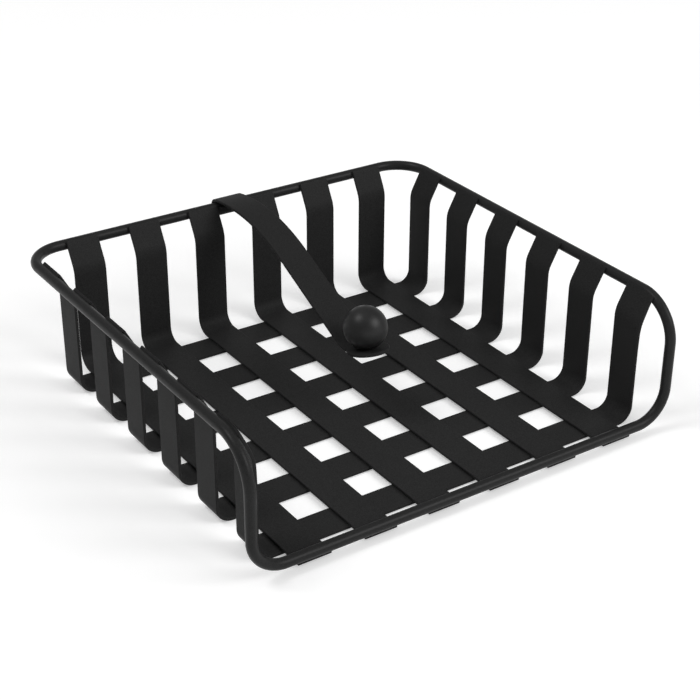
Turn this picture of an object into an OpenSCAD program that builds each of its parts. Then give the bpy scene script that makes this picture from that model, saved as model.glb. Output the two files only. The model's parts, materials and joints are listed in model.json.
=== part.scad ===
// Napkin holder: a low square basket with an open front and a weighted hold-down arm.
// One round wire makes the rim, the two front legs and the front rail. Cross straps run from the
// left rim under the base to the right rim. Long straps lie on them and rise to the back rim.
// Each strap end flares out and is rolled onto the wire. The arm is a strap too: its end is
// rolled into an eye that turns on the back rim, and its cupped foot carries a ball.
// X runs across, Y from the open front to the back and Z up. The origin is the middle of the
// holder's outline, at the level that it stands on.

/* [Rim wire] */
// Diameter of the round wire
wire_d = 4.5; // [3.5:0.1:5.5]
// Width of the rim, between wire centres
rim_w = 197; // [190:1:215]
// Depth from the front rail to the back rim, between wire centres
rim_depth = 185; // [180:1:205]
// Height of the rim above the front rail, between wire centres
rim_rise = 51.5; // [46:0.5:70]
// Bend radius where a side rim drops into its leg, at the wire's centre
side_bend_r = 18; // [16:0.5:20]
// Bend radius where a leg turns into the front rail, at the wire's centre
rail_bend_r = 14; // [10:0.5:18]
// Bend radius of the two back corners, at the wire's centre
corner_bend_r = 16; // [12:0.5:16]

/* [Straps] */
// Width of a strap
strap_w = 14.5; // [12:0.5:16]
// Thickness of a strap
strap_t = 1.3; // [1:0.1:1.6]
// Outer radius of the bend between base and wall
base_bend_r = 7; // [5:0.5:9]
// From a wire's centre in to the outer face of its wall
wall_inset = 7.6; // [7:0.1:8.5]
// Slope of a wall's flared top, from upright
flare_angle = 28; // [24:1:34]
// Radius of the bend below the flare, at the outer face
flare_bend_r = 10; // [8:0.5:12]
// How far a strap is rolled up the wire, above the level of its centre
roll_angle = 46; // [40:1:70]
// From the front rail's centre back to the first cross strap
front_strap_inset = 10; // [9:0.5:14]
// From a side wall's outer face in to the nearest long strap
side_strap_inset = 10.8; // [10:0.2:14]
// How far a long strap's front end reaches past the rail's centre
rail_overlap = 0.5; // [0.3:0.1:1.5]
// How deep the rail is sunk into the long straps at its welds
weld_sink = 0.25; // [0.1:0.05:0.4]

/* [Arm] */
// Gap between the arm and the long strap on each side of it
arm_side_gap = 0.5; // [0.3:0.1:2]
// Thickness of the arm
arm_t = 1.3; // [1:0.1:1.6]
// Gap between the wire and the eye, all round
eye_gap = 0.25; // [0.2:0.05:0.4]
// Where the eye's rolled end stops, above the level of the wire's centre
eye_end_angle = 20; // [0:5:30]
// Slope at which the arm leaves its eye, upwards
rise_angle = 11; // [5:1:15]
// Radius of the arch, at the middle of the strip
arch_r = 91; // [80:1:100]
// Slope of the straight stretch, downwards
fall_angle = 24.7; // [20:0.1:28]
// Length of the straight stretch
arm_straight = 48.6; // [40:0.2:55]
// Radius of the bend above the foot, at the middle of the strip
foot_bend_r = 12.8; // [8:0.2:18]
// Slope of the foot's flat pad, upwards
pad_angle = 12.7; // [5:0.1:20]
// Length of the pad
pad_len = 8.4; // [8:0.2:12]
// Radius of the curled tip, at the middle of the strip
tip_bend_r = 8.4; // [6:0.2:12]
// Slope of the tip's end, upwards
tip_angle = 58; // [40:1:70]
// Radius of the tip's corners
tip_corner_r = 3; // [1:0.5:5]

/* [Ball] */
// Radius of the ball
ball_r = 9.15; // [7:0.05:10]
// Radius of the flat that the ball sits on
ball_seat_r = 2.6; // [2.2:0.1:3]
// From the start of the pad to the ball
ball_pos = 5.2; // [4:0.1:5.4]
// Radius of the screw's shank
screw_r = 1.5; // [1:0.1:1.8]
// Length of the screw inside the ball
screw_grip = 8; // [5:0.5:10]
// Radius of the screw's head
screw_head_r = 2.8; // [2.4:0.1:3]
// Height of the screw's domed head
screw_head_h = 1.6; // [1.4:0.1:2]
// Width of the slots in the screw's head
screw_slot_w = 0.6; // [0.4:0.1:0.8]
// Depth of the slots in the screw's head
screw_slot_h = 0.8; // [0.5:0.1:1]

/* [Hidden] */
// Swaps across and up, for a profile that is swept round an upright axis.
ACROSS_TO_UP = [[0, 1, 0, 0], [1, 0, 0, 0], [0, 0, 1, 0], [0, 0, 0, 1]];
$fn = 96;

coat = [0.16, 0.16, 0.16];
arm_coat = [0.18, 0.18, 0.18];
ball_coat = [0.2, 0.2, 0.2];
screw_coat = [0.12, 0.12, 0.12];

// Straps each way. The arm swings in the gap between the two middle long straps.
cross_count = 6;
long_count = 6;

// How far a curve's chords may lie inside it, and how far an outline reaches past what cuts it.
arc_sag = 0.008;
cut_reach = 0.1;

right = 90;
wire_r = wire_d / 2;
half_w = rim_w / 2;

// The rail's and the back rim's centres. The arm's eye is what reaches furthest back.
eye_r = wire_r + eye_gap;
rail_y = (wire_r - eye_r - arm_t - rim_depth) / 2;
rim_y = rail_y + rim_depth;

// Levels: cross straps on the ground, long straps on them, and the rail on those.
base_top = 2 * strap_t;
rail_z = base_top + wire_r - weld_sink;
rim_z = rail_z + rim_rise;
side_bend_y = rail_y + side_bend_r;
side_bend_z = rim_z - side_bend_r;

// A wall's top: a bend, then a run tangent to the wire. The bend's level is below the wire's centre.
flare_bend_w = flare_bend_r * (1 - cos(flare_angle));
flare_run = (wall_inset - wire_r * cos(flare_angle) - flare_bend_w) / sin(flare_angle);
flare_drop = flare_run * cos(flare_angle) + (flare_bend_r - wire_r) * sin(flare_angle);
flare_centre = [flare_bend_r - wall_inset, -flare_drop];

// Where the straps lie. The last cross strap ends where the back corners start to bend.
cross_start = rail_y + front_strap_inset;
cross_end = rim_y - corner_bend_r;
cross_pitch = (cross_end - cross_start - strap_w) / (cross_count - 1);
long_edge = half_w - wall_inset - side_strap_inset;
long_pitch = (2 * long_edge - strap_w) / (long_count - 1);

// The arm's side profile, forwards and up from the back rim's centre.
arm_w = long_pitch - strap_w - 2 * arm_side_gap;
arch_start = (eye_r + arm_t / 2) * [-sin(rise_angle), cos(rise_angle)];
arch_centre = arch_start + arch_r * [sin(rise_angle), -cos(rise_angle)];
arch_end = arch_centre + arch_r * [sin(fall_angle), cos(fall_angle)];
foot_start = arch_end + arm_straight * [cos(fall_angle), -sin(fall_angle)];
foot_centre = foot_start + foot_bend_r * [sin(fall_angle), cos(fall_angle)];
pad_start = foot_centre + foot_bend_r * [sin(pad_angle), -cos(pad_angle)];
pad_end = pad_start + pad_len * [cos(pad_angle), sin(pad_angle)];
tip_centre = pad_end + tip_bend_r * [-sin(pad_angle), cos(pad_angle)];
tip_end = tip_centre + tip_bend_r * [sin(tip_angle), -cos(tip_angle)];

ball_height = sqrt(ball_r * ball_r - ball_seat_r * ball_seat_r);
head_dome_r = (screw_head_r * screw_head_r + screw_head_h * screw_head_h) / (2 * screw_head_h);

function turn(angle) = [cos(angle), sin(angle)];

// Points round an arc, from one angle to another.
function arc(centre, radius, from, to) =
    let (steps = ceil(abs(to - from) / (2 * acos(1 - arc_sag / radius))))
    [for (i = [0:steps]) centre + radius * turn(from + (to - from) * i / steps)];

function reversed(points) = [for (i = [len(points) - 1:-1:0]) points[i]];

function after_first(points) = [for (i = [1:len(points) - 1]) points[i]];

// A strap's profile is drawn outwards and up from its wire's centre. Its outer face is at depth
// zero and its inner face at the strap's thickness. This is one face of a wall's top: round the
// wire, down the flare and round the bend to upright.
function wall_top(depth) =
    let (roll_r = depth > 0 ? wire_r + depth : wire_r - cut_reach)
    concat(
        arc([0, 0], roll_r, 2 * right - roll_angle, 2 * right - flare_angle),
        arc(flare_centre, flare_bend_r + depth, 2 * right - flare_angle, 2 * right)
    );

// One face of the bend from a wall into a base at a given level.
function wall_foot(depth, level) =
    let (centre = [-wall_inset - base_bend_r, level - rim_z + base_bend_r])
    arc(centre, base_bend_r - depth, 0, -right);

module between_faces(outer, inner) {
    polygon(concat(outer, reversed(inner)));
}

// Both sides of what is given for the right one, as a strap from one y to another.
module across(from, to) {
    for (side = [0, 1])
        mirror([side, 0, 0])
            translate([half_w, to, rim_z])
                rotate([right, 0, 0])
                    linear_extrude(height = to - from)
                        children();
}

// A cross strap's right half, up to a wall's top or to a level in its wall.
module half_strap() {
    difference() {
        between_faces(
            concat(wall_top(0), wall_foot(0, 0), [[-half_w, -rim_z]]),
            concat(wall_top(strap_t), wall_foot(strap_t, 0), [[-half_w, strap_t - rim_z]])
        );
        circle(r = wire_r);
    }
}

module half_strap_below(level) {
    between_faces(
        concat([[-wall_inset, level]], wall_foot(0, 0), [[-half_w, -rim_z]]),
        concat(
            [[-wall_inset - strap_t, level]],
            wall_foot(strap_t, 0),
            [[-half_w, strap_t - rim_z]]
        )
    );
}

// A wall's top as it goes round a side bend: out from the bend's centre, and across.
module bent_wall() {
    difference() {
        translate([side_bend_r, 0])
            multmatrix(ACROSS_TO_UP)
                between_faces(
                    concat(wall_top(0), [[-wall_inset, -side_bend_r]]),
                    concat(wall_top(strap_t), [[-wall_inset - strap_t, -side_bend_r]])
                );
        translate([side_bend_r, 0])
            circle(r = wire_r);
    }
}

// The walls of the front cross strap, carried round the side bends with the wire.
module corner_roll(from) {
    intersection() {
        for (side = [0, 1])
            mirror([side, 0, 0])
                translate([half_w, side_bend_y, side_bend_z])
                    rotate([2 * right, -right, 0])
                        rotate_extrude(angle = right)
                            bent_wall();
        translate([-rim_w, from, side_bend_z])
            cube([2 * rim_w, side_bend_y - from, rim_z]);
    }
}

module cross_strap(i) {
    to = cross_end - (i - 1) * cross_pitch;
    from = to - strap_w;
    color(coat)
        union() {
            across(max(from, side_bend_y), to)
                half_strap();
            if (from < side_bend_y) {
                across(from, side_bend_y)
                    half_strap_below(-side_bend_r);
                corner_roll(from);
            }
        }
}

// From the back rim down under the rail, which is sunk into it.
module long_strap(i) {
    length = rim_depth + rail_overlap;
    level = strap_t - rim_z;
    color(coat)
        translate([-long_edge + (i - 1) * long_pitch, rim_y, rim_z])
            rotate([right, 0, right])
                linear_extrude(height = strap_w)
                    difference() {
                        between_faces(
                            concat(wall_top(0), wall_foot(0, strap_t), [[-length, level]]),
                            concat(wall_top(strap_t), wall_foot(strap_t, strap_t), [[-length, level + strap_t]])
                        );
                        circle(r = wire_r);
                        translate([-rim_depth, -rim_rise])
                            circle(r = wire_r);
                    }
}

module front_rail() {
    length = rim_w - 2 * rail_bend_r;
    translate([-length / 2, rail_y, rail_z])
        rotate([0, right, 0])
            cylinder(h = length, r = wire_r);
}

module wire_bend(radius) {
    rotate_extrude(angle = right)
        translate([radius, 0])
            circle(r = wire_r);
}

// The wire's right half without the rail and the back rim: back corner, side, leg and its bends.
module wire_side() {
    corner_y = rim_y - corner_bend_r;
    leg_foot = rail_z + rail_bend_r;
    translate([half_w - corner_bend_r, corner_y, rim_z])
        wire_bend(corner_bend_r);
    translate([half_w, side_bend_y, rim_z])
        rotate([-right, 0, 0])
            cylinder(h = corner_y - side_bend_y, r = wire_r);
    translate([half_w, side_bend_y, side_bend_z])
        rotate([2 * right, -right, 0])
            wire_bend(side_bend_r);
    translate([half_w, rail_y, leg_foot])
        cylinder(h = side_bend_z - leg_foot, r = wire_r);
    translate([half_w - rail_bend_r, rail_y, leg_foot])
        rotate([-right, 0, 0])
            wire_bend(rail_bend_r);
}

module rim_wire() {
    back_length = rim_w - 2 * corner_bend_r;
    color(coat)
        union() {
            front_rail();
            translate([-back_length / 2, rim_y, rim_z])
                rotate([0, right, 0])
                    cylinder(h = back_length, r = wire_r);
            for (side = [0, 1])
                mirror([side, 0, 0])
                    wire_side();
        }
}

// One face of the arm, a given distance above the middle of the strip: round the eye, over the
// arch, down to the foot and up its curled tip.
function arm_face(above) =
    let (eye_face_r = above > 0 ? eye_r + arm_t : eye_r - cut_reach)
    concat(
        arc([0, 0], eye_face_r, eye_end_angle, rise_angle - 3 * right),
        after_first(arc(arch_centre, arch_r + above, right + rise_angle, right - fall_angle)),
        arc(foot_centre, foot_bend_r - above, 3 * right - fall_angle, 3 * right + pad_angle),
        arc(tip_centre, tip_bend_r - above, 3 * right + pad_angle, 3 * right + tip_angle)
    );

// Forwards, up and across from the back rim's centre.
module in_arm_frame() {
    translate([0, rim_y, rim_z])
        rotate([right, 0, -right])
            children();
}

// Up from the pad's upper face, under the ball.
module in_ball_frame() {
    seat = pad_start + ball_pos * turn(pad_angle);
    in_arm_frame()
        translate(seat)
            rotate(pad_angle)
                translate([0, arm_t / 2])
                    rotate([-right, 0, 0])
                        children();
}

// What rounding takes off the tip's corners.
module tip_corners() {
    corner_v = arm_w / 2 - tip_corner_r;
    translate(tip_end)
        rotate(tip_angle)
            for (side = [0, 1])
                mirror([0, 0, side])
                    rotate([right, 0, 0])
                        linear_extrude(height = 2 * tip_corner_r, center = true)
                            translate([-tip_corner_r, corner_v])
                                difference() {
                                    square(2 * tip_corner_r);
                                    circle(r = tip_corner_r);
                                }
}

module hold_down_arm() {
    color(arm_coat)
        difference() {
            in_arm_frame()
                difference() {
                    linear_extrude(height = arm_w, center = true)
                        between_faces(arm_face(arm_t / 2), arm_face(-arm_t / 2));
                    cylinder(h = 2 * arm_w, r = eye_r, center = true);
                    tip_corners();
                }
            in_ball_frame()
                cylinder(h = 4 * arm_t, r = screw_r, center = true);
        }
}

module ball_knob() {
    color(ball_coat)
        in_ball_frame()
            difference() {
                translate([0, 0, ball_height])
                    sphere(r = ball_r);
                translate([0, 0, -ball_r])
                    cylinder(h = ball_r, r = ball_r);
                cylinder(h = 2 * screw_grip, r = screw_r, center = true);
            }
}

module ball_screw() {
    color(screw_coat)
        in_ball_frame()
            translate([0, 0, -arm_t]) {
                cylinder(h = arm_t + screw_grip, r = screw_r);
                difference() {
                    intersection() {
                        translate([0, 0, head_dome_r - screw_head_h])
                            sphere(r = head_dome_r);
                        translate([0, 0, -screw_head_h])
                            cylinder(h = screw_head_h, r = screw_head_r);
                    }
                    for (angle = [0, right])
                        rotate(angle)
                            translate([-screw_head_r, -screw_slot_w / 2, -screw_head_h])
                                cube([2 * screw_head_r, screw_slot_w, screw_slot_h]);
                }
            }
}

rim_wire();
cross_strap(1);  // cross_strap_1
cross_strap(2);  // cross_strap_2
cross_strap(3);  // cross_strap_3
cross_strap(4);  // cross_strap_4
cross_strap(5);  // cross_strap_5
cross_strap(6);  // cross_strap_6
long_strap(1);  // long_strap_1
long_strap(2);  // long_strap_2
long_strap(3);  // long_strap_3
long_strap(4);  // long_strap_4
long_strap(5);  // long_strap_5
long_strap(6);  // long_strap_6
hold_down_arm();
ball_knob();
ball_screw();
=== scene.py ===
# %% [markdown]
# # A napkin holder, dressed for the camera
# The holder is a low square basket. One round wire is bent into a rim, two front legs and a
# front rail. Twelve flat straps hang from it, six each way, and a strap arm with a ball on its
# foot swings on the back rim.

# %% Load the frame
import json
from math import ceil, cos, hypot, pi, radians, sin, sqrt

import bpy
from mathutils import Matrix, Vector


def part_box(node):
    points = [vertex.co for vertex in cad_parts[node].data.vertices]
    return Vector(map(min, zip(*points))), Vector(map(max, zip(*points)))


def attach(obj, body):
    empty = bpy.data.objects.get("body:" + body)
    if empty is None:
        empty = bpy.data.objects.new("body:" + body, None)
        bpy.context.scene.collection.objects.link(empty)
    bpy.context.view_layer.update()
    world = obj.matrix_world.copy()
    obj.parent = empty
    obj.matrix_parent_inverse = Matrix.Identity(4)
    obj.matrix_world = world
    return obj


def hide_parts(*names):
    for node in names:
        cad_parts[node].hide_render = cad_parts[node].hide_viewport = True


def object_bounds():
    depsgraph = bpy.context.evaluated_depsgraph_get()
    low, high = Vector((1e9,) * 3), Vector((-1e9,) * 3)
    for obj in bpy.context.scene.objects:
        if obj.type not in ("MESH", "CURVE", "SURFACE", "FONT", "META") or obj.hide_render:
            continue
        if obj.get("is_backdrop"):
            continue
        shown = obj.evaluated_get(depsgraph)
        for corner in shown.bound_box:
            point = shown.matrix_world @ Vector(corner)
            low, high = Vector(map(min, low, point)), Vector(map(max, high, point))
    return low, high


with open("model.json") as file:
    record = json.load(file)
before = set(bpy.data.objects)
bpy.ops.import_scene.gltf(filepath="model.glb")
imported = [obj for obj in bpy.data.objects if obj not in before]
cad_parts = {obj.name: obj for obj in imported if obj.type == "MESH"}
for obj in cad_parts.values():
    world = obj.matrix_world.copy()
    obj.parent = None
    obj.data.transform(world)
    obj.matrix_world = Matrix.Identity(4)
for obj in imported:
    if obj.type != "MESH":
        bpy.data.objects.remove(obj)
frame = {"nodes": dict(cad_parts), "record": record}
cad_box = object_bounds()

bpy.context.scene.view_settings.view_transform = "Standard"
MM = 0.001

# %% [markdown]
# ## The camera
# A camera could be placed by eye, but a render can be laid over a photograph only when both are
# seen from the same point. This one was found by fitting the straight runs of the rim, the rail
# and the strap edges to the photograph. It stands to the left of the open front and looks down
# on the basket. The picture's middle is a little off the lens's axis, which the shift puts right.

# %% Camera
CAMERA_AZIMUTH = radians(-35.936)
CAMERA_ELEVATION = radians(28.569)
CAMERA_ROLL = radians(1.27)
CAMERA_DISTANCE = 685.624 * MM
CAMERA_TARGET = Vector((30.666, -0.775, 13.005)) * MM
FOCAL_PX = 1584.802
AXIS_PX = (400.623, 352.316)
IMAGE_PX = 700
SENSOR_MM = 36

back = Vector((sin(CAMERA_AZIMUTH) * cos(CAMERA_ELEVATION),
               -cos(CAMERA_AZIMUTH) * cos(CAMERA_ELEVATION),
               sin(CAMERA_ELEVATION)))
level = Vector((cos(CAMERA_AZIMUTH), sin(CAMERA_AZIMUTH), 0))
upright = back.cross(level)
camera_x = level * cos(CAMERA_ROLL) + upright * sin(CAMERA_ROLL)
camera_y = -level * sin(CAMERA_ROLL) + upright * cos(CAMERA_ROLL)

camera_data = bpy.data.cameras.new("camera")
camera_data.sensor_width = SENSOR_MM
camera_data.lens = FOCAL_PX / IMAGE_PX * SENSOR_MM
camera_data.shift_x = (IMAGE_PX / 2 - AXIS_PX[0]) / IMAGE_PX
camera_data.shift_y = (AXIS_PX[1] - IMAGE_PX / 2) / IMAGE_PX
camera_data.clip_start = 10 * MM
camera = bpy.data.objects.new("camera", camera_data)
bpy.context.scene.collection.objects.link(camera)
turn = Matrix((camera_x, camera_y, back)).transposed().to_4x4()
camera.matrix_world = Matrix.Translation(CAMERA_TARGET + back * CAMERA_DISTANCE) @ turn
bpy.context.scene.camera = camera
print("lens %.1f mm, %.0f mm from the basket" % (camera_data.lens, CAMERA_DISTANCE / MM))

# %% [markdown]
# ## Sizes
# The sizes are those of the CAD model, in millimetres. Each piece below is checked against the
# box of the CAD pieces that it stands for, so a wrong number shows at once. Rim and rail are
# given by the wire's centre line, and a strap by its outer face.

# %% Sizes
WIRE_R = 2.25
HALF_W = 98.5
FRONT_Y, BACK_Y = -93.275, 91.725
RAIL_Z, RIM_Z = 4.6, 56.1
STRAP_W, STRAP_T = 14.5, 1.3
EDGE_R = 0.35


def compare(piece, *nodes):
    """Print how far a piece's box lies from the box of the CAD pieces that it stands for."""
    boxes = [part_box(node) for node in nodes]
    low = [min(b[0][k] for b in boxes) for k in range(3)]
    high = [max(b[1][k] for b in boxes) for k in range(3)]
    points = [v.co for v in piece.data.vertices]
    off = [(min(p[k] for p in points) - low[k]) / MM for k in range(3)]
    off += [(max(p[k] for p in points) - high[k]) / MM for k in range(3)]
    print("%-16s %6d faces, box off by" % (piece.name, len(piece.data.polygons)),
          " ".join("%.2f" % value for value in off), "mm")


print("rim %.1f mm wide and %.1f mm deep between the wire's centres"
      % (2 * HALF_W, BACK_Y - FRONT_Y))

# %% [markdown]
# ## The coating
# All of the metal has a satin black powder coat. Sprayed powder flows when it is baked but keeps
# a fine skin like orange peel, a fraction of a millimetre across, which breaks up each highlight.
# One flat black with a fixed gloss would look like plastic, and image textures would need a UV
# map on every piece. Noise textures on Object coordinates need none and have no seams. One noise
# drives a bump for the skin, a finer one flecks the black, and a wide one lets the blur drift a
# little, because a coat is never quite even. The round wire and the ball show clearer lights
# than the flat straps do, so each kind of piece has its own gloss and blur. The ball has its own
# black too. The wire and the arm have the straps' coat, and their blacks are set darker than the
# straps' as painted shade.

# %% The material of a coat
COAT_IOR = 1.5
DRIFT_MM, DRIFT = 7, 0.04
SPECKLE_MM, SPECKLE = 0.35, 0.25
NOISE_LOW, NOISE_HIGH = 0.3, 0.7


def powder_coat(name, black, gloss, roughness, peel_mm=0.6, peel_depth_mm=0.012):
    """A satin coat from its colour, the strength and blur of its reflections, and its skin."""
    material = bpy.data.materials.new(name)
    material.use_nodes = True
    nodes, links = material.node_tree.nodes, material.node_tree.links
    shader = nodes["Principled BSDF"]
    shader.inputs["IOR"].default_value = COAT_IOR
    shader.inputs["Specular IOR Level"].default_value = gloss
    place = nodes.new("ShaderNodeTexCoord")

    def noise(size_mm, detail):
        """A noise on Object coordinates whose patches have a given size."""
        texture = nodes.new("ShaderNodeTexNoise")
        texture.inputs["Scale"].default_value = 1 / (size_mm * MM)
        texture.inputs["Detail"].default_value = detail
        links.new(place.outputs["Object"], texture.inputs["Vector"])
        return texture.outputs["Fac"]

    def spread(value, middle, share):
        """Stretch a noise's usual values over a range round a middle."""
        ranged = nodes.new("ShaderNodeMapRange")
        ranged.inputs["From Min"].default_value = NOISE_LOW
        ranged.inputs["From Max"].default_value = NOISE_HIGH
        ranged.inputs["To Min"].default_value = middle * (1 - share)
        ranged.inputs["To Max"].default_value = middle * (1 + share)
        links.new(value, ranged.inputs["Value"])
        return ranged.outputs["Result"]

    drift = noise(DRIFT_MM, detail=3)
    links.new(spread(drift, roughness, DRIFT), shader.inputs["Roughness"])
    speckle = noise(SPECKLE_MM, detail=1)
    tone = nodes.new("ShaderNodeCombineColor")
    for channel in ("Red", "Green", "Blue"):
        links.new(spread(speckle, black, SPECKLE), tone.inputs[channel])
    links.new(tone.outputs["Color"], shader.inputs["Base Color"])
    bump = nodes.new("ShaderNodeBump")
    bump.inputs["Strength"].default_value = 1
    bump.inputs["Distance"].default_value = peel_depth_mm * MM
    links.new(noise(peel_mm, detail=2), bump.inputs["Height"])
    links.new(bump.outputs["Normal"], shader.inputs["Normal"])
    return material


print("the blur drifts over %g mm and the black over %g mm" % (DRIFT_MM, SPECKLE_MM))

# %% A coat for each kind of piece, with painted shade in the wire's and the arm's blacks
basket_coat = powder_coat("satin black coat", black=0.025, gloss=0.03, roughness=0.43)
# The wire has the straps' powder coat. Its black is set darker than theirs as painted shade, and
# its gloss is raised so that the lamps draw a highlight line along it.
wire_coat_with_painted_shade = powder_coat("satin black coat of the wire, darker as painted shade", black=0.018, gloss=0.13,
                        roughness=0.37)
# The arm has the straps' powder coat too, with its black set a little darker as painted shade.
arm_coat = powder_coat("satin black coat of the arm, darker as painted shade", black=0.0225, gloss=0.03,
                       roughness=0.48)
ball_coat = powder_coat("smooth black coat of the ball", black=0.011, gloss=0.32,
                        roughness=0.42, peel_mm=0.9, peel_depth_mm=0.006)
screw_coat = powder_coat("blackened steel", black=0.01, gloss=0.3,
                         roughness=0.4, peel_mm=0.5, peel_depth_mm=0.004)
COATS = {"black_coat": basket_coat, "arm_coat": arm_coat, "ball_coat": ball_coat,
         "screw_coat": screw_coat}
for part in frame["record"]["subparts"]:
    node = frame["nodes"][part["node"]]
    node.data.materials.clear()
    node.data.materials.append(COATS[part["material_slot"]])
print("coats:", [wire_coat_with_painted_shade.name] + [coat.name for coat in COATS.values()])

# %% [markdown]
# ## Paths
# Wire and strap are bent from straight stock, so each piece is a flat path of straight runs and
# arcs with one section swept along it. Bezier curves could be drawn for this, but their bends
# are only near to round. Here every arc has its true radius, and is cut into steps of three
# degrees, which is fine enough for a highlight to run smoothly round a bend.

# %% Paths
STEP = radians(3)


def arc(centre, radius, start, end, step=STEP):
    """Points on an arc from one angle to another, no further apart than a step."""
    count = max(1, ceil(abs(end - start) / step - 0.001))
    angles = [start + (end - start) * i / count for i in range(count + 1)]
    return [(centre[0] + radius * cos(a), centre[1] + radius * sin(a)) for a in angles]


def path_object(name, points, closed=False):
    """A chain of edges through points given in millimetres."""
    mesh = bpy.data.meshes.new(name)
    places = [tuple(c * MM for c in (*p, 0)[:3]) for p in points]
    edges = [(i, i + 1) for i in range(len(points) - 1)]
    if closed:
        edges.append((len(points) - 1, 0))
    mesh.from_pydata(places, edges, [])
    piece = bpy.data.objects.new(name, mesh)
    bpy.context.scene.collection.objects.link(piece)
    return piece


def stand_along(along, place):
    """Stand a flat path upright: its first axis lies along a direction, its origin at a place."""
    along, up = Vector(along), Vector((0, 0, 1))
    axes = Matrix((along, up, along.cross(up))).transposed().to_4x4()
    return Matrix.Translation([c * MM for c in place]) @ axes


print("a quarter bend has %d steps" % (len(arc((0, 0), 1, 0, pi / 2)) - 1))

# %% [markdown]
# ## Trees for bent stock
# Straps could be copied by hand or by an Array modifier. Geometry Nodes do the whole job: they
# sweep the section along the path and repeat the result at a pitch, and the stock's sizes are
# the tree's inputs. One tree makes the wire, with a round section, and one the straps, with a
# flat section whose edges are rounded. On a strap's path, each point also holds a share of the
# full width, which lets the strip widen or close. Both trees end by making the copies real and
# giving them their coat.

# %% Tree helpers
REPEAT = [("Count", "Int", 1), ("Pitch", "Vector", (0, 0, 0)), ("Coat", "Material", None)]


def new_tree(name, inputs):
    """A tree with named inputs, its two ends, and a helper that adds and links a node."""
    tree = bpy.data.node_groups.new(name, "GeometryNodeTree")
    face = tree.interface
    face.new_socket("Geometry", in_out="INPUT", socket_type="NodeSocketGeometry")
    for label, kind, value in inputs:
        socket = face.new_socket(label, in_out="INPUT", socket_type="NodeSocket" + kind)
        if value is not None:
            socket.default_value = value
    face.new_socket("Geometry", in_out="OUTPUT", socket_type="NodeSocketGeometry")
    start = tree.nodes.new("NodeGroupInput")
    end = tree.nodes.new("NodeGroupOutput")

    def node(kind, settings=None, **sockets):
        """Add a node and feed its sockets from values or from other nodes."""
        made = tree.nodes.new("GeometryNode" + kind)
        for key, value in (settings or {}).items():
            setattr(made, key, value)
        for key, value in sockets.items():
            socket = made.inputs[key.replace("_", " ")]
            if isinstance(value, bpy.types.NodeSocket):
                tree.links.new(value, socket)
            else:
                socket.default_value = value
        return made

    return tree, start, end, node


def finish_tree(tree, start, end, node, geometry):
    """Repeat a piece at a pitch, make the copies real and coat them."""
    line = node("MeshLine", Count=start.outputs["Count"], Offset=start.outputs["Pitch"])
    copies = node("InstanceOnPoints", Points=line.outputs["Mesh"], Instance=geometry)
    real = node("RealizeInstances", Geometry=copies.outputs["Instances"])
    coated = node("SetMaterial", Geometry=real.outputs["Geometry"],
                  Material=start.outputs["Coat"])
    tree.links.new(coated.outputs["Geometry"], end.inputs["Geometry"])


print("every tree takes", [label for label, kind, value in REPEAT])

# %% Wire tree
WIRE_SIDES = 40

wire_tree, start, end, node = new_tree("bent wire", [("Radius", "Float", 0.002)] + REPEAT)
path = node("MeshToCurve", Mesh=start.outputs["Geometry"])
section = node("CurvePrimitiveCircle", Resolution=WIRE_SIDES, Radius=start.outputs["Radius"])
swept = node("CurveToMesh", Curve=path.outputs["Curve"],
             Profile_Curve=section.outputs["Curve"])
finish_tree(wire_tree, start, end, node, swept.outputs["Mesh"])
print("%s: a section of %d sides" % (wire_tree.name, WIRE_SIDES))

# %% Strap tree
EDGE_STEPS = 4

strap_tree, start, end, node = new_tree(
    "bent strap", [("Width", "Float", 0.01), ("Thickness", "Float", 0.001),
                   ("Edge", "Float", 0.0001)] + REPEAT)
path = node("MeshToCurve", Mesh=start.outputs["Geometry"])
flat = node("SetCurveNormal", {"mode": "Z_UP"}, Curve=path.outputs["Curve"])
square = node("CurvePrimitiveQuadrilateral", Width=start.outputs["Thickness"],
              Height=start.outputs["Width"])
section = node("FilletCurve", {"mode": "POLY"}, Curve=square.outputs["Curve"],
               Count=EDGE_STEPS, Radius=start.outputs["Edge"], Limit_Radius=True)
swept = node("CurveToMesh", Curve=flat.outputs["Curve"],
             Profile_Curve=section.outputs["Curve"], Fill_Caps=True)
share = node("InputNamedAttribute", {"data_type": "FLOAT"}, Name="width_share")
place = node("InputPosition")
split = strap_tree.nodes.new("ShaderNodeSeparateXYZ")
narrow = strap_tree.nodes.new("ShaderNodeMath")
narrow.operation = "MULTIPLY"
join = strap_tree.nodes.new("ShaderNodeCombineXYZ")
for source, target in ((place.outputs["Position"], split.inputs["Vector"]),
                       (split.outputs["Z"], narrow.inputs[0]),
                       (share.outputs["Attribute"], narrow.inputs[1]),
                       (split.outputs["X"], join.inputs["X"]),
                       (split.outputs["Y"], join.inputs["Y"]),
                       (narrow.outputs["Value"], join.inputs["Z"])):
    strap_tree.links.new(source, target)
shaped = node("SetPosition", Geometry=swept.outputs["Mesh"], Position=join.outputs["Vector"])
finish_tree(strap_tree, start, end, node, shaped.outputs["Geometry"])
print("%s: %d steps round each edge of its section" % (strap_tree.name, EDGE_STEPS))

# %% [markdown]
# ## From a path to a finished piece
# A strap is flat with edges rounded by a third of a millimetre. Plain smooth shading would lean
# the light on its faces towards those edges and make it look swollen, and flat shading would
# show the steps of its bends. Weighted normals take each normal mostly from the widest face, so
# the faces stay flat and the bends smooth. The result is then made a plain mesh and stood in its
# place, so that the piece itself stays at the origin.

# %% Settle and sweep
FACE_WEIGHT = 60


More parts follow.
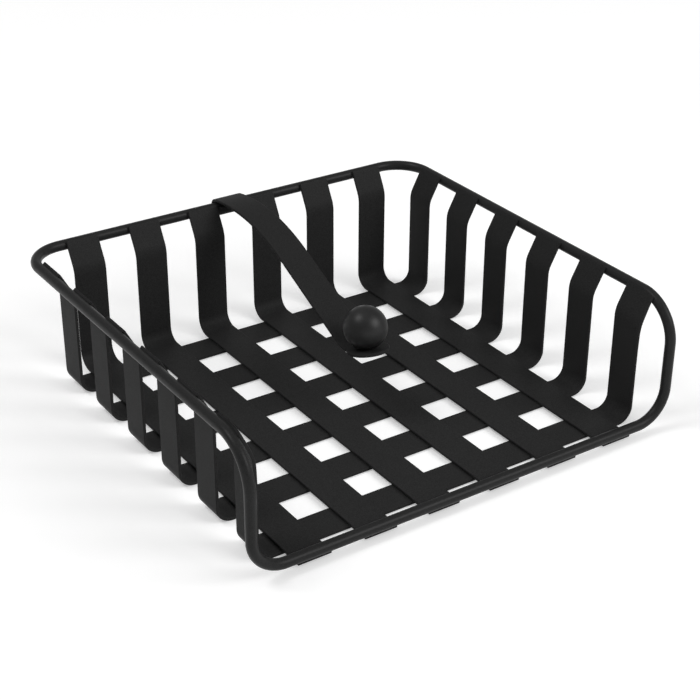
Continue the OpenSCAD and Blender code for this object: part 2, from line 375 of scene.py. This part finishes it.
def settle(rough, name, stand=Matrix()):
    """Keep only the finished mesh of a rough object, stood in its place."""
    weigh = rough.modifiers.new("normals", "WEIGHTED_NORMAL")
    weigh.weight = FACE_WEIGHT
    seen = rough.evaluated_get(bpy.context.evaluated_depsgraph_get())
    mesh = bpy.data.meshes.new_from_object(seen)
    mesh.name = name
    mesh.transform(stand)
    bpy.data.objects.remove(rough)
    piece = bpy.data.objects.new(name, mesh)
    bpy.context.scene.collection.objects.link(piece)
    return piece


def sweep(name, points, tree, values, closed=False, shares=None, stand=Matrix()):
    """Sweep a section along a path with one of the trees."""
    rough = path_object(name + " path", points, closed)
    layer = rough.data.attributes.new("width_share", "FLOAT", "POINT")
    layer.data.foreach_set("value", shares or [1.0] * len(points))
    modifier = rough.modifiers.new("stock", "NODES")
    modifier.node_group = tree
    for item in tree.interface.items_tree:
        if item.name in values:
            modifier[item.identifier] = values[item.name]
    return settle(rough, name, stand)


def belongs(piece, body, slot, *nodes):
    """Tie a piece to its body, hide the CAD pieces that it stands for and compare boxes; the slot
    is not used.
    """
    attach(piece, body)
    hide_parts(*nodes)
    compare(piece, *nodes)


print("face weight of the normals:", FACE_WEIGHT)

# %% [markdown]
# ## The rim wire
# One wire goes round the whole basket: along the front rail, up a leg, over a wide bend into a
# side rim, round a back corner and home the other way. Its ends are butt welded and ground
# smooth, so it reads as an endless ring. A curve object with a round bevel could make it as
# well, but the tree keeps wire and straps alike. Each corner of the ring is an arc between two
# straight runs that it touches, as a bending tool makes it.

# %% Rim wire
RAIL_BEND, LEG_BEND, BACK_BEND = 14, 18, 16


def ring(corners):
    """A closed path through corners, each with its bend radius."""
    points = []
    for i, (corner, radius) in enumerate(corners):
        here = Vector(corner)
        before = (Vector(corners[i - 1][0]) - here).normalized()
        after = (Vector(corners[(i + 1) % len(corners)][0]) - here).normalized()
        centre = here + (before + after) * radius
        steps = ceil(pi / 2 / STEP)
        for k in range(steps + 1):
            angle = pi / 2 * k / steps
            points.append(centre - after * radius * cos(angle) - before * radius * sin(angle))
    return points


corners = [((HALF_W, FRONT_Y, RAIL_Z), RAIL_BEND), ((HALF_W, FRONT_Y, RIM_Z), LEG_BEND),
           ((HALF_W, BACK_Y, RIM_Z), BACK_BEND), ((-HALF_W, BACK_Y, RIM_Z), BACK_BEND),
           ((-HALF_W, FRONT_Y, RIM_Z), LEG_BEND), ((-HALF_W, FRONT_Y, RAIL_Z), RAIL_BEND)]
rim = sweep("rim", ring(corners), wire_tree,
            {"Radius": WIRE_R * MM, "Coat": wire_coat_with_painted_shade}, closed=True)
belongs(rim, "basket", "black_coat", "rim_wire")

# %% [markdown]
# ## The straps
# Each strap is rolled a little way round the wire, slopes in, bends upright, runs down as the
# wall and turns in to make the base. Cross straps lie on the table and long straps lie on them.
# The long straps end under the front rail. All of them have the same wall, so one function
# draws it, and the trees repeat the strap. The path is the middle of the strap's thickness.

# %% Strap paths
WALL_INSET = 7.6
FLARE, ROLL = radians(28), radians(46)
FLARE_R, BASE_R = 10.0, 7.0
HALF_T = STRAP_T / 2
FLARE_RUN = (WALL_INSET - WIRE_R * cos(FLARE) - FLARE_R * (1 - cos(FLARE))) / sin(FLARE)
FLARE_DROP = FLARE_RUN * cos(FLARE) + (FLARE_R - WIRE_R) * sin(FLARE)


def wall(wire_at, floor_level, depth=HALF_T):
    """One wall from its rolled end to the base, at a given depth in the strap."""
    foot = floor_level + BASE_R
    return (arc((wire_at, RIM_Z), WIRE_R + depth, pi - ROLL, pi - FLARE)
            + arc((wire_at - WALL_INSET + FLARE_R, RIM_Z - FLARE_DROP), FLARE_R + depth,
                  pi - FLARE, pi)
            + arc((wire_at - WALL_INSET - BASE_R, foot), BASE_R - depth, 0, -pi / 2))


def across(half):
    """A path and its mirror image, joined at the middle."""
    return half + [(-x, z) for x, z in reversed(half)]


print("straight flare of %.2f mm, upright %.2f mm under the wire" % (FLARE_RUN, FLARE_DROP))

# %% Five cross straps and six long straps
CROSS_COUNT, CROSS_PITCH, FIRST_CROSS_Y = 6, 28.9, 68.475
LONG_COUNT, LONG_PITCH, FIRST_LONG_X = 6, 29.14, -72.85
RAIL_OVERLAP = 0.5

strap_size = {"Width": STRAP_W * MM, "Thickness": STRAP_T * MM, "Edge": EDGE_R * MM,
              "Coat": basket_coat}
cross = sweep("cross_straps", across(wall(HALF_W, 0)), strap_tree,
              {**strap_size, "Count": CROSS_COUNT - 1, "Pitch": (0, 0, CROSS_PITCH * MM)},
              stand=stand_along((1, 0, 0), (0, FIRST_CROSS_Y, 0)))
belongs(cross, "basket", "black_coat",
        *["cross_strap_%d" % i for i in range(1, CROSS_COUNT)])

long_path = wall(BACK_Y, STRAP_T) + [(FRONT_Y - RAIL_OVERLAP, STRAP_T + HALF_T)]
long = sweep("long_straps", long_path, strap_tree,
             {**strap_size, "Count": LONG_COUNT, "Pitch": (0, 0, LONG_PITCH * MM)},
             stand=stand_along((0, 1, 0), (FIRST_LONG_X, 0, 0)))
belongs(long, "basket", "black_coat",
        *["long_strap_%d" % i for i in range(1, LONG_COUNT + 1)])

# %% [markdown]
# ## The front cross strap
# The front strap meets the wire where the rim already bends down into its leg, so its rolled
# ends follow that bend. A plain sweep can't do that, and a lattice would bend the wall as well.
# It is skinned over columns of points instead, one for each point of its rounded section. Over
# the bend, a point's distance from the bend's centre takes the place of its height.

# %% Faces over the bend
BEND_Y, BEND_Z = FRONT_Y + LEG_BEND, RIM_Z - LEG_BEND
FRONT_STRAP_Y = FIRST_CROSS_Y - (CROSS_COUNT - 1) * CROSS_PITCH
READ_BELOW, SETTLE_OVER = 4, 6


def face_at(points, out):
    """How far across a face lies, at a given distance out from the bend's centre."""
    upper = [(z - BEND_Z, x) for x, z in points if z >= BEND_Z - READ_BELOW]
    upper.sort()
    for (a, xa), (b, xb) in zip(upper, upper[1:]):
        if out <= b:
            return xa + (xb - xa) * max(0, out - a) / (b - a)
    return upper[-1][1]


def bent(points, forward):
    """The same face, moved forward of the bend's start by a given distance."""
    top = points[0][1] - BEND_Z
    top_here = sqrt(top * top - forward * forward)
    moved = []
    for x, z in points:
        height = z - BEND_Z
        if height > 0:
            # The rolled end sinks with the wire.
            height *= top_here / top
            x = face_at(points, hypot(height, forward))
        else:
            # Under the bend's centre, the wall soon settles back into its own plane.
            fade = max(0, 1 + height / SETTLE_OVER) ** 2
            x += (face_at(points, forward) - face_at(points, 0)) * fade
        moved.append((x, BEND_Z + height))
    return moved


print("the strap reaches %.2f mm into the bend" % (BEND_Y - FRONT_STRAP_Y + STRAP_W / 2))

# %% Columns and skin
def with_runs(points, spacing=2.5):
    """Add points along the straight stretches, so that the faces can bend there too."""
    filled = [points[0]]
    for a, b in zip(points, points[1:]):
        count = ceil(hypot(b[0] - a[0], b[1] - a[1]) / spacing)
        filled += [(a[0] + (b[0] - a[0]) * k / count, a[1] + (b[1] - a[1]) * k / count)
                   for k in range(1, count + 1)]
    return filled


def rounded_section(width, thickness, radius, spans=8, step=pi / 8):
    """The strap's section as (across, depth) points, with extra points along its wide faces."""
    half, points = width / 2 - radius, []
    for side, y, z, quarter in ((1, half, thickness - radius, 0),
                                (-1, -half, thickness - radius, 1),
                                (-1, -half, radius, 2), (1, half, radius, 3)):
        points += arc((y, z), radius, quarter * pi / 2, (quarter + 1) * pi / 2, step)
        if quarter in (0, 2):
            points += [(y - side * 2 * half * k / spans, points[-1][1]) for k in range(1, spans)]
    return points


def loft(name, columns, coat):
    """Skin a closed ring of columns of points, with a flat cap at each end."""
    count, rows = len(columns), len(columns[0])
    vertices = [tuple(c * MM for c in p) for column in columns for p in column]
    faces = [tuple(range(0, count * rows, rows))[::-1],
             tuple(range(rows - 1, count * rows, rows))]
    for k in range(count):
        here, there = k * rows, (k + 1) % count * rows
        faces += [(here + i, there + i, there + i + 1, here + i + 1) for i in range(rows - 1)]
    mesh = bpy.data.meshes.new(name)
    mesh.from_pydata(vertices, [], faces)
    mesh.materials.append(coat)
    mesh.shade_smooth()
    rough = bpy.data.objects.new(name, mesh)
    bpy.context.scene.collection.objects.link(rough)
    return rough


section_points = rounded_section(STRAP_W, STRAP_T, EDGE_R)
print("a section of %d points" % len(section_points))

# %% Front strap
columns = []
for offset, depth in section_points:
    y = FRONT_STRAP_Y + offset
    half = bent(with_runs(wall(HALF_W, 0, depth)), max(0, BEND_Y - y))
    columns.append([(x, y, z) for x, z in across(half)])
front = settle(loft("front_strap_rough", columns, basket_coat), "front_strap")
belongs(front, "basket", "black_coat", "cross_strap_%d" % CROSS_COUNT)

# %% [markdown]
# ## The arm
# The arm is a strap that is a little narrower than the gap it drops into. Its end is rolled into
# an eye round the back rim, with a quarter of a millimetre of play. From there it rises, arches
# and falls to its foot, a round pad as wide as the ball on it. The pad could be a disc joined to
# the strip, but no seam shows on the real one, which is cut and bent from one piece. So the
# strap tree makes it too: a share on each point of the path widens the strip into the pad's
# circle and closes it again.

# %% Line of the arm
EYE_PLAY, EYE_START = 0.25, radians(20)
EYE_R = WIRE_R + EYE_PLAY
ARM_W, ARM_T = 13.64, 1.3
RISE, FALL, PAD = (radians(a) for a in (11, 24.7, 12.7))
ARCH_R, STRAIGHT, FOOT_R = 91, 48.6, 12.8
ARCH_STEP, FOOT_STEP = radians(1.2), radians(1.5)
MIDDLE_R = EYE_R + ARM_T / 2


def go(point, angle, length):
    """The point at a given angle and distance from another."""
    return (point[0] + length * cos(angle), point[1] + length * sin(angle))


arch_start = go((0, 0), pi / 2 + RISE, MIDDLE_R)
arch_centre = go(arch_start, RISE - pi / 2, ARCH_R)
arch_end = go(arch_centre, pi / 2 - FALL, ARCH_R)
foot_start = go(arch_end, -FALL, STRAIGHT)
foot_centre = go(foot_start, pi / 2 - FALL, FOOT_R)
pad_start = go(foot_centre, PAD - pi / 2, FOOT_R)

eye = arc((0, 0), MIDDLE_R, EYE_START, RISE + pi / 2 - 2 * pi)
arch = arc(arch_centre, ARCH_R, pi / 2 + RISE, pi / 2 - FALL, ARCH_STEP)
foot = arc(foot_centre, FOOT_R, -pi / 2 - FALL, -pi / 2 + PAD, FOOT_STEP)
print("the pad's plane starts %.1f mm in front of the rim, %.1f mm under its centre"
      % (pad_start[0], -pad_start[1]))

# %% Pad of the arm
BALL_AT, PAD_R = 5.2, 8.9
PAD_STEPS, PAD_SHARE = 40, 0.9995


def half_width(run):
    """Half the arm's width at a distance past the start of the pad's plane."""
    circle = sqrt(max(0, PAD_R ** 2 - (run - BALL_AT) ** 2))
    return circle if run > BALL_AT else max(ARM_W / 2, circle)


# The steps grow short towards the tip, and the last stops just before the strip has no width.
pad_length = BALL_AT + PAD_R * PAD_SHARE
pad_runs = [pad_length * sin(pi / 2 * k / PAD_STEPS) for k in range(1, PAD_STEPS + 1)]
foot_runs = [-FOOT_R * (FALL + PAD) * (1 - k / (len(foot) - 1)) for k in range(len(foot))]
arm_path = eye + arch[1:] + foot + [go(pad_start, PAD, run) for run in pad_runs]
shares = [1.0] * (len(eye) + len(arch) - 1)
shares += [half_width(run) * 2 / ARM_W for run in foot_runs + pad_runs]
print("arm path of %d points, pad %.1f mm wide" % (len(arm_path), 2 * PAD_R))

# %% Arm
stand_arm = stand_along((0, -1, 0), (0, BACK_Y, RIM_Z))
arm = sweep("arm", arm_path, strap_tree,
            {"Width": ARM_W * MM, "Thickness": ARM_T * MM, "Edge": EDGE_R * MM,
             "Coat": arm_coat},
            shares=shares, stand=stand_arm)
belongs(arm, "arm", "arm_coat", "hold_down_arm")

# %% [markdown]
# ## The ball
# The ball is the weight and the handle. It is turned with a small flat where it sits on the pad,
# and its coat runs a little over that flat's edge. A sphere could be cut off for the flat, but
# the cut would leave a sharp edge and long thin faces. A lathe profile gives both forms at once:
# the flat, the eased edge and the long arc up to the pole, turned about an axis square to the
# pad.

# %% Lathe
def lathe(name, profile, stand, coat, turns=128):
    """Turn a profile that starts and ends on the axis."""
    inner = profile[1:-1]
    vertices = [(0, 0, profile[0][1] * MM)]
    for radius, height in inner:
        vertices += [(radius * MM * cos(2 * pi * k / turns),
                      radius * MM * sin(2 * pi * k / turns), height * MM)
                     for k in range(turns)]
    vertices.append((0, 0, profile[-1][1] * MM))

    def spot(ring_number, k):
        return 1 + ring_number * turns + k % turns

    faces, last = [], len(inner) - 1
    for k in range(turns):
        faces.append((0, spot(0, k + 1), spot(0, k)))
        for i in range(last):
            faces.append((spot(i, k), spot(i, k + 1), spot(i + 1, k + 1), spot(i + 1, k)))
        faces.append((spot(last, k), spot(last, k + 1), len(vertices) - 1))
    mesh = bpy.data.meshes.new(name)
    mesh.from_pydata(vertices, [], faces)
    mesh.transform(stand)
    mesh.materials.append(coat)
    mesh.shade_smooth()
    piece = bpy.data.objects.new(name, mesh)
    bpy.context.scene.collection.objects.link(piece)
    return piece


BALL_R, SEAT_R = 9.15, 2.6
centre_up = sqrt(BALL_R ** 2 - SEAT_R ** 2)
print("ball %.1f mm across, its centre %.2f mm above the pad" % (2 * BALL_R, centre_up))

# %% Ball
EASED_ANGLE, BALL_STEP = 0.31, radians(2.5)
FLAT_SHARES = (0.0, 0.5, 0.9, 0.98)

seat = go(go(pad_start, PAD, BALL_AT), PAD + pi / 2, ARM_T / 2)
flat_part = [(SEAT_R * share, 0.0) for share in FLAT_SHARES]
round_part = arc((0, centre_up), BALL_R, -pi / 2 + EASED_ANGLE, pi / 2, BALL_STEP)[:-1]
pole = (0.0, centre_up + BALL_R)
stand_ball = (stand_arm @ Matrix.Translation((seat[0] * MM, seat[1] * MM, 0))
              @ Matrix.Rotation(PAD, 4, "Z") @ Matrix.Rotation(-pi / 2, 4, "X"))
ball = lathe("ball", flat_part + round_part + [pole], stand_ball, ball_coat)
belongs(ball, "arm", "ball_coat", "ball_knob")

# %% [markdown]
# ## The floor
# The holder stands on a plain white floor. Lamps bright enough to make it white would make the
# black coats grey, so the lamps stay at a plain level and the floor adds a glow of its own for
# what they leave short of white. Only rays from the camera, from a reflection or through glass
# see the glow, so it throws no light on matt surfaces. The holder's shadow stays, because the
# paper under the glow is lit as any other.

# %% Floor
FLOOR_HALF, FLOOR_Z = 2.0, -0.2 * MM
FLOOR_GREY, FLOOR_GLOW = 0.8, 0.36


def plain_sight(nodes, links):
    """One for rays from the camera, from a reflection or through glass, and nought for others."""
    rays = nodes.new("ShaderNodeLightPath")
    sight = rays.outputs["Is Camera Ray"]
    for kind in ("Is Glossy Ray", "Is Transmission Ray"):
        either = nodes.new("ShaderNodeMath")
        either.operation = "MAXIMUM"
        links.new(sight, either.inputs[0])
        links.new(rays.outputs[kind], either.inputs[1])
        sight = either.outputs["Value"]
    return sight


white = bpy.data.materials.new("white floor")
white.use_nodes = True
nodes, links = white.node_tree.nodes, white.node_tree.links
nodes.remove(nodes["Principled BSDF"])
paper = nodes.new("ShaderNodeBsdfDiffuse")
paper.inputs["Color"].default_value = (FLOOR_GREY, FLOOR_GREY, FLOOR_GREY, 1)
glow = nodes.new("ShaderNodeEmission")
glow.inputs["Strength"].default_value = FLOOR_GLOW
both = nodes.new("ShaderNodeAddShader")
choice = nodes.new("ShaderNodeMixShader")
links.new(paper.outputs["BSDF"], both.inputs[0])
links.new(glow.outputs["Emission"], both.inputs[1])
links.new(plain_sight(nodes, links), choice.inputs["Fac"])
links.new(paper.outputs["BSDF"], choice.inputs[1])
links.new(both.outputs["Shader"], choice.inputs[2])
links.new(choice.outputs["Shader"], nodes["Material Output"].inputs["Surface"])

floor_mesh = bpy.data.meshes.new("floor")
floor_mesh.from_pydata([(x * FLOOR_HALF, y * FLOOR_HALF, FLOOR_Z)
                        for x, y in ((-1, -1), (1, -1), (1, 1), (-1, 1))], [], [(0, 1, 2, 3)])
floor_mesh.materials.append(white)
floor = bpy.data.objects.new("floor", floor_mesh)
bpy.context.scene.collection.objects.link(floor)
floor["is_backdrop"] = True
print("floor %.0f m wide" % (2 * FLOOR_HALF))

# %% [markdown]
# ## The world
# The floor ends two metres away, and beyond it the world must go on as white as the floor. A
# world that is white all over would lay a veil on every black face. This one is white only at
# the horizon and below, and fades to a dim room a little higher, for every kind of ray alike.

# %% World
ROOM_LIGHT, FADE_END = 0.32, 16

world = bpy.data.worlds.new("studio")
bpy.context.scene.world = world
world.use_nodes = True
nodes, links = world.node_tree.nodes, world.node_tree.links
room = nodes["Background"]
place = nodes.new("ShaderNodeTexCoord")
height = nodes.new("ShaderNodeSeparateXYZ")
fade = nodes.new("ShaderNodeMapRange")
fade.inputs["From Min"].default_value = 0
fade.inputs["From Max"].default_value = sin(radians(FADE_END))
fade.inputs["To Min"].default_value = 1
fade.inputs["To Max"].default_value = ROOM_LIGHT
links.new(place.outputs["Generated"], height.inputs["Vector"])
links.new(height.outputs["Z"], fade.inputs["Value"])
room.inputs["Color"].default_value = (1, 1, 1, 1)
links.new(fade.outputs["Result"], room.inputs["Strength"])
print("room light %.2f above %.0f degrees" % (ROOM_LIGHT, FADE_END))

# %% [markdown]
# ## The lamps
# Two soft lights show on the ball, a small one at its upper left and a wide one at its right.
# Their places on the ball give the directions of two softboxes, written here as shares of the
# camera's right, up and back. A third, overhead, is wide and weak and lights the base.

# %% Lamps
LAMP_AWAY = 2.5
LAMP_AIM = Vector((0, -20, 40)) * MM


def softbox(name, direction, size, power):
    """A square lamp in a given direction from the holder, facing it."""
    lamp = bpy.data.lights.new(name, "AREA")
    lamp.shape = "SQUARE"
    lamp.size = size
    lamp.energy = power
    box = bpy.data.objects.new(name, lamp)
    bpy.context.scene.collection.objects.link(box)
    box.visible_camera = False
    box.location = LAMP_AIM + direction.normalized() * LAMP_AWAY
    box.rotation_euler = direction.to_track_quat("Z", "Y").to_euler()
    print("%s at (%.2f, %.2f, %.2f) m" % (name, *box.location))


left_way = camera_x * -0.508 + camera_y * 0.713 + back * 0.483
right_way = camera_x * 0.763 + camera_y * 0.366 + back * 0.531
overhead_way = Vector((-0.1, 0.2, 1))
softbox("left softbox", left_way, size=0.8, power=16)
softbox("right softbox", right_way, size=1.4, power=30)
softbox("overhead softbox", overhead_way, size=3.3, power=8)

# %% [markdown]
# ## The boxes
# The visual model's box and the CAD model's box are printed one after the other.

# %% Finish
visual_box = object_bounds()
for name, box in (("CAD", cad_box), ("visual", visual_box)):
    print(name, "box, mm:", [[round(c / MM, 2) for c in corner] for corner in box])
